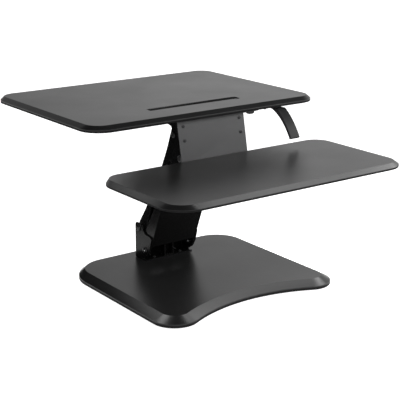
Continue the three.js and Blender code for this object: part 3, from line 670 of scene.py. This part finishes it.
def make_top_board():
    """The work surface, with a shallow step and a deep groove to stand a tablet in."""
    rings = tray_rings("top_board", *TOP_EDGE)
    top = rings[-1][0][2]
    vertices, faces = skin(rings, capped=False)
    rim_count = len(rings[0])
    moulded = len(vertices)
    faces.append(tuple(reversed(range(rim_count))))
    flat = list(range(moulded - rim_count, moulded))
    for level in (STEP, GROOVE):
        well = slot_rings(top, *level)
        first = len(vertices)
        count = len(well[0])
        well_vertices, well_faces = skin(well, capped=False)
        vertices += well_vertices
        faces += [tuple(first + v for v in face) for face in well_faces]
        faces += flat_between(vertices, flat, list(range(first, first + count)))
        flat = list(range(len(vertices) - count, len(vertices)))
    faces.append(tuple(flat))
    board = new_object("top_board_moulded", vertices, faces)
    sawn_below = top - STEP_DEPTH - 0.3 * MM
    sawn = [i >= moulded and vertex[2] < sawn_below for i, vertex in enumerate(vertices)]
    mark(board, "sawn", [float(value) for value in sawn])
    return board


def make_base_board():
    low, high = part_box("base_board")
    rim = base_outline(low, high, BASE_CORNER, *BASE_BAY)
    face = base_outline(low, high, BASE_FACE_CORNER, *BASE_BAY, BASE_SLOPE)
    rings = board_rings(rim, face, low.z, high.z, BASE_SLOPE, BASE_DROP)
    return new_object("base_board_moulded", *skin(rings))


def make_keyboard_board():
    rings = tray_rings("keyboard_board", *KEYBOARD_EDGE)
    return new_object("keyboard_board_moulded", *skin(rings))


stands_for(make_top_board(), "top_board")
stands_for(make_keyboard_board(), "keyboard_board")
stands_for(make_base_board(), "base_board")


# ---- sheet metal and moulded parts that keep their CAD shape, with their edges broken ------------


def eased(name, edge=0.5 * MM, steps=2, sharp_from=30):
    """A CAD node's own shape with its flats made whole and its sharp edges rounded."""
    obj = link(bpy.data.objects.new(name + "_eased", NODES[name].data.copy()))
    mesh = bmesh.new()
    mesh.from_mesh(obj.data)
    bmesh.ops.remove_doubles(mesh, verts=mesh.verts, dist=0.002 * MM)
    bmesh.ops.dissolve_limit(
        mesh, angle_limit=math.radians(0.6), verts=mesh.verts, edges=mesh.edges,
        use_dissolve_boundaries=False,
    )
    mesh.to_mesh(obj.data)
    mesh.free()
    stands_for(obj, name, sharp_from)
    bevel = obj.modifiers.new("eased_edges", "BEVEL")
    bevel.width = edge
    bevel.segments = steps
    bevel.limit_method = "ANGLE"
    bevel.angle_limit = math.radians(sharp_from)
    bevel.harden_normals = True
    return obj


SHEET_PARTS = (
    "base_bracket", "spring_clevis", "front_arm", "rear_arm", "top_bracket", "drop_plate",
    "lever_bracket",
)
MOULDED_PARTS = (
    "release_lever", "cable_clip", "cable_stop", "gas_spring_lower_eye", "gas_spring_release_head",
)

for part in SHEET_PARTS:
    eased(part)
for part in MOULDED_PARTS:
    eased(part, edge=0.8 * MM, steps=3)


# ---- bolts, pins and screws ----------------------------------------------------------------------


def hexagon(angle):
    return polygon_radius(6, angle)


def cut_hexagon(angle):
    """A hexagon with its corners turned off."""
    return min(polygon_radius(6, angle), 0.955)


def cross_recess(angle):
    return lobe_radius(4, 0.45, angle)


def outer_sign(name):
    return 1 if centre_of(name).x > 0 else -1


DOME_TURNS = [math.radians(turn) for turn in (12, 25, 38, 51, 64, 77)]


def shoulder_bolt(name):
    """A button head with a stud in its hexagon socket outside, a hexagon nut round a domed end inside.

    The domes are bare metal at the lower end of the arms.
    """
    low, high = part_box(name)
    inner, outer = sorted((abs(low.x) / MM, abs(high.x) / MM))
    under = outer - 4.5
    socket = under + 1.9
    nut = inner + 7
    tip = 3.0
    stud = 2.4
    profile = [(tip * math.sin(turn), inner + tip * (1 - math.cos(turn))) for turn in DOME_TURNS]
    profile += [
        (4.9, inner + 3.1), (5.7, inner + 1.7), (5.8, inner + 0.9), (6.5, inner), (8.0, inner),
        (9.5, inner + 0.8, cut_hexagon), (9.5, nut - 0.8, cut_hexagon), (8.0, nut), (6.0, nut),
        (6.0, under - 0.3), (6.3, under), (10.2, under), (10.5, under + 0.3), (10.5, under + 1.2),
        (10.3, under + 2.0), (9.6, under + 3.0), (8.4, under + 3.8), (6.9, under + 4.3),
        (5.2, outer), (4.5, outer), (4.2, under + 4.2, hexagon), (4.2, socket, hexagon),
    ]
    profile += [(stud * math.sin(turn), socket + stud * math.cos(turn)) for turn in reversed(DOME_TURNS)]
    centre = centre_of(name)
    axis = (outer_sign(name), 0, 0)
    bare = tip if "lower" in name else 0.0
    return turned(
        name + "_turned", profile, (0, centre.y, centre.z), axis, segments=48, bare_within=bare
    )


def headed_pin(name, radius, head):
    """A plain pin with a domed head formed at both ends."""
    low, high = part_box(name)
    outer = high.x / MM
    under = outer - 3
    half = [
        (radius, under), (head - 0.3, under), (head, under + 0.3), (head, under + 1.3),
        (head - 0.6, under + 2.2), (head - 1.8, under + 2.8), (head - 3.4, under + 3.0),
        (1.5, under + 2.6),
    ]
    profile = [(r, -h) for r, h in reversed(half)] + half
    centre = centre_of(name)
    return turned(name + "_turned", profile, (0, centre.y, centre.z), (1, 0, 0), segments=40)


THREAD_PITCH = 1.6
THREAD_ROOT = 0.74  # the thread's root as a share of its crest


def screw(name, origin, axis, head, head_height, shank, length):
    """A pan-head screw. The origin is on its head's outer face and the axis runs to its tip."""
    profile = [
        (0.6, 1.9), (head * 0.38, 1.5, cross_recess), (head * 0.5, 0.1, cross_recess),
        (head * 0.56, 0.0), (head * 0.8, 0.12 * head_height), (head * 0.94, 0.34 * head_height),
        (head, 0.65 * head_height), (head, 0.93 * head_height), (head * 0.97, head_height),
        (shank, head_height), (shank, head_height + 1.2),
    ]
    root = shank * THREAD_ROOT
    height = head_height + 1.2
    while height + THREAD_PITCH < length - 2.2:
        profile += [
            (root, height + 0.35 * THREAD_PITCH), (root, height + 0.6 * THREAD_PITCH),
            (shank, height + 0.93 * THREAD_PITCH), (shank, height + THREAD_PITCH),
        ]
        height += THREAD_PITCH
    profile += [(root, height + 0.5), (shank * 0.7, length - 1.8), (0.15, length)]
    return turned(name + "_turned", profile, origin, axis, segments=32)


def upright_screw(name):
    """A wood screw that drives up into a tray, or down into the base."""
    low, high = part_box(name)
    centre = centre_of(name)
    down = name.startswith("base")
    origin = (centre.x, centre.y, high.z if down else low.z)
    return screw(name, origin, (0, 0, -1 if down else 1), 6.0, 3.0, 2.5, (high.z - low.z) / MM)


PLATE_LEAN = math.radians(11)
PLATE_FACE_RADIUS = 3.6 * MM  # of the CAD screw head's two round edges
PLATE_RIM_RADIUS = 5.0 * MM
PLATE_HEAD = 2.2  # height in millimetres


def plate_screw(name):
    """A screw square to the leaning drop plate."""
    low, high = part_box(name)
    axis = Vector((0, math.cos(PLATE_LEAN), -math.sin(PLATE_LEAN)))
    y = low.y + PLATE_FACE_RADIUS * math.sin(PLATE_LEAN)
    z = high.z - PLATE_RIM_RADIUS * math.cos(PLATE_LEAN) + PLATE_HEAD * MM * math.sin(PLATE_LEAN)
    return screw(name, (centre_of(name).x, y, z), axis, PLATE_RIM_RADIUS / MM, PLATE_HEAD, 2.2, 12.5)


WASHER_CHAMFER = 0.3


def washer(name, inner, outer):
    """A flat ring with its four edges chamfered."""
    low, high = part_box(name)
    centre = centre_of(name)
    length = (high.x - low.x) / MM
    edge = WASHER_CHAMFER
    profile = [
        (inner, edge), (inner + edge, 0), (outer - edge, 0), (outer, edge), (outer, length - edge),
        (outer - edge, length), (inner + edge, length), (inner, length - edge),
    ]
    origin = (low.x, centre.y, centre.z)
    return turned(name + "_turned", profile, origin, (1, 0, 0), segments=48, loop=True)


def foot(name):
    """A rubber foot with a rounded tread edge and a dished middle."""
    centre = centre_of(name)
    profile = [
        (4.0, 1.1), (5.6, 0.8), (6.4, 0.0), (12.9, 0.0), (13.6, 0.3), (14.0, 1.0), (14.0, 4.3),
        (13.7, 4.7),
    ]
    return turned(name + "_turned", profile, (centre.x, centre.y, 0), (0, 0, 1), segments=48)


def lever_pin():
    """The lever's pin, with a flat head and a groove near its other end."""
    low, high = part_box("lever_pin")
    centre = centre_of("lever_pin")
    length = (high.x - low.x) / MM
    profile = [
        (2.6, 0.0), (4.4, 0.0), (4.8, 0.3), (4.8, 1.0), (3.0, 1.0), (3.0, length - 2.6),
        (2.5, length - 2.5), (2.5, length - 1.7), (3.0, length - 1.6), (3.0, length - 0.6),
        (2.4, length),
    ]
    return turned("lever_pin_turned", profile, (low.x, centre.y, centre.z), (1, 0, 0))


LEVELS = ("lower", "upper")
SIDES = ("left", "right")
for level in LEVELS:
    stands_for(headed_pin(f"rear_arm_pin_{level}", 5, 8), f"rear_arm_pin_{level}")
    for side in SIDES:
        bolt = f"front_arm_bolt_{level}_{side}"
        stands_for(shoulder_bolt(bolt), bolt)
        disc = f"front_arm_washer_{level}_{side}"
        stands_for(washer(disc, 6.3, 11), disc)
        spacer = f"rear_arm_spacer_{level}_{side}"
        stands_for(washer(spacer, 5.3, 9), spacer)
        fixing = f"plate_screw_{level}_{side}"
        stands_for(plate_screw(fixing), fixing)
stands_for(headed_pin("spring_pin_lower", 5, 8), "spring_pin_lower")
stands_for(lever_pin(), "lever_pin")
for name in sorted(NODES):
    if name.startswith(("base_screw", "top_screw", "keyboard_screw", "lever_screw")):
        stands_for(upright_screw(name), name)
    elif name.startswith("rubber_foot"):
        stands_for(foot(name), name)


# ---- gas spring, return spring and release cable -------------------------------------------------


def make_gas_spring():
    """The tube with its rolled neck, the gland and the rod, by their distance from the lower eye."""
    origin = JOINTS["spring_swing"]["pos_m"]
    axis = JOINTS["spring_stroke"]["axis"]
    tube = [
        (3.0, 18.0), (8.6, 18.0), (10.1, 18.4), (10.8, 19.2), (11.0, 20.4), (11.0, 286.0),
        (10.6, 286.8), (10.6, 288.4), (11.0, 289.2), (11.0, 293.4), (10.6, 294.8), (9.8, 295.7),
        (8.6, 296.0), (5.8, 296.0), (5.4, 295.6), (5.4, 185.0),
    ]
    stands_for(turned("cylinder_turned", tube, origin, axis, segments=56), "gas_spring_cylinder")
    gland = [
        (5.4, 296.7), (5.8, 296.3), (11.4, 296.3), (11.8, 296.7), (11.8, 299.6), (11.2, 300.0),
        (11.2, 300.8), (11.8, 301.2), (11.8, 303.7), (11.2, 304.3), (6.2, 304.3), (5.4, 303.6),
    ]
    stands_for(turned("gland_turned", gland, origin, axis, segments=56, loop=True), "gas_spring_gland")
    rod = [(4.0, 245.0), (5.0, 246.0), (5.0, 375.0), (4.4, 375.9)]
    stands_for(turned("rod_turned", rod, origin, axis, segments=48), "gas_spring_rod")


def make_return_spring():
    """A torsion spring round the free end of the lever's pin."""
    centre = centre_of("lever_pin")
    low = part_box("lever_return_spring")[0]
    coil_radius = 4.5 * MM
    wire = 0.6
    turns = 3.25
    pitch = 1.7 * MM
    start = low.x + wire * MM
    steps = 130
    points = []
    for i in range(steps + 1):
        angle = 2 * math.pi * turns * i / steps + math.pi / 2
        x = start + pitch * turns * i / steps
        y = centre.y + coil_radius * math.cos(angle)
        points.append((x, y, centre.z + coil_radius * math.sin(angle)))
    radii = [wire * 0.7] + [wire] * (steps - 1) + [wire * 0.7]
    spring = swept("return_spring_wound", points, radii, sides=10)
    stands_for(spring, "lever_return_spring", sharp_from=50)


def smooth_line(points, steps):
    """A centripetal Catmull-Rom line through the points."""
    line = [Vector(point) * MM for point in points]
    line = [line[0] * 2 - line[1], *line, line[-1] * 2 - line[-2]]
    smooth = []
    for a, b, c, d in zip(line, line[1:], line[2:], line[3:]):
        t1 = (b - a).length ** 0.5
        t2 = t1 + (c - b).length ** 0.5
        t3 = t2 + (d - c).length ** 0.5
        for i in range(steps):
            t = t1 + (t2 - t1) * i / steps
            first = a.lerp(b, t / t1)
            second = b.lerp(c, (t - t1) / (t2 - t1))
            third = c.lerp(d, (t - t2) / (t3 - t2))
            before = first.lerp(second, t / t2)
            after = second.lerp(third, (t - t1) / (t3 - t1))
            smooth.append(before.lerp(after, (t - t1) / (t2 - t1)))
    smooth.append(line[-2])
    return smooth


# From the lever bracket through the clip to the stop at the column, in millimetres.
CABLE_ROUTE = [
    (231.5, -36, 502.3), (222, -38, 502.3), (203, -56, 502.3), (182, -74, 502.3),
    (162, -78.4, 502.3), (136, -78.4, 502.3), (120, -73, 502.3), (110, -48, 500.3),
    (103, -26, 497), (89, -20, 496), (62.3, -20, 496),
]


def make_cable():
    """The jacket, with a crimped ferrule at each end."""
    line = smooth_line(CABLE_ROUTE, 14)
    ferrule_length = 5 * MM
    ferrule_radius = 2.5
    jacket_radius = 2.25
    radii = []
    for point in line:
        from_end = min((point - line[0]).length, (point - line[-1]).length)
        radii.append(ferrule_radius if from_end < ferrule_length else jacket_radius)
    stands_for(swept("cable_run", line, radii, sides=20), "release_cable", sharp_from=50)


make_gas_spring()
make_return_spring()
make_cable()
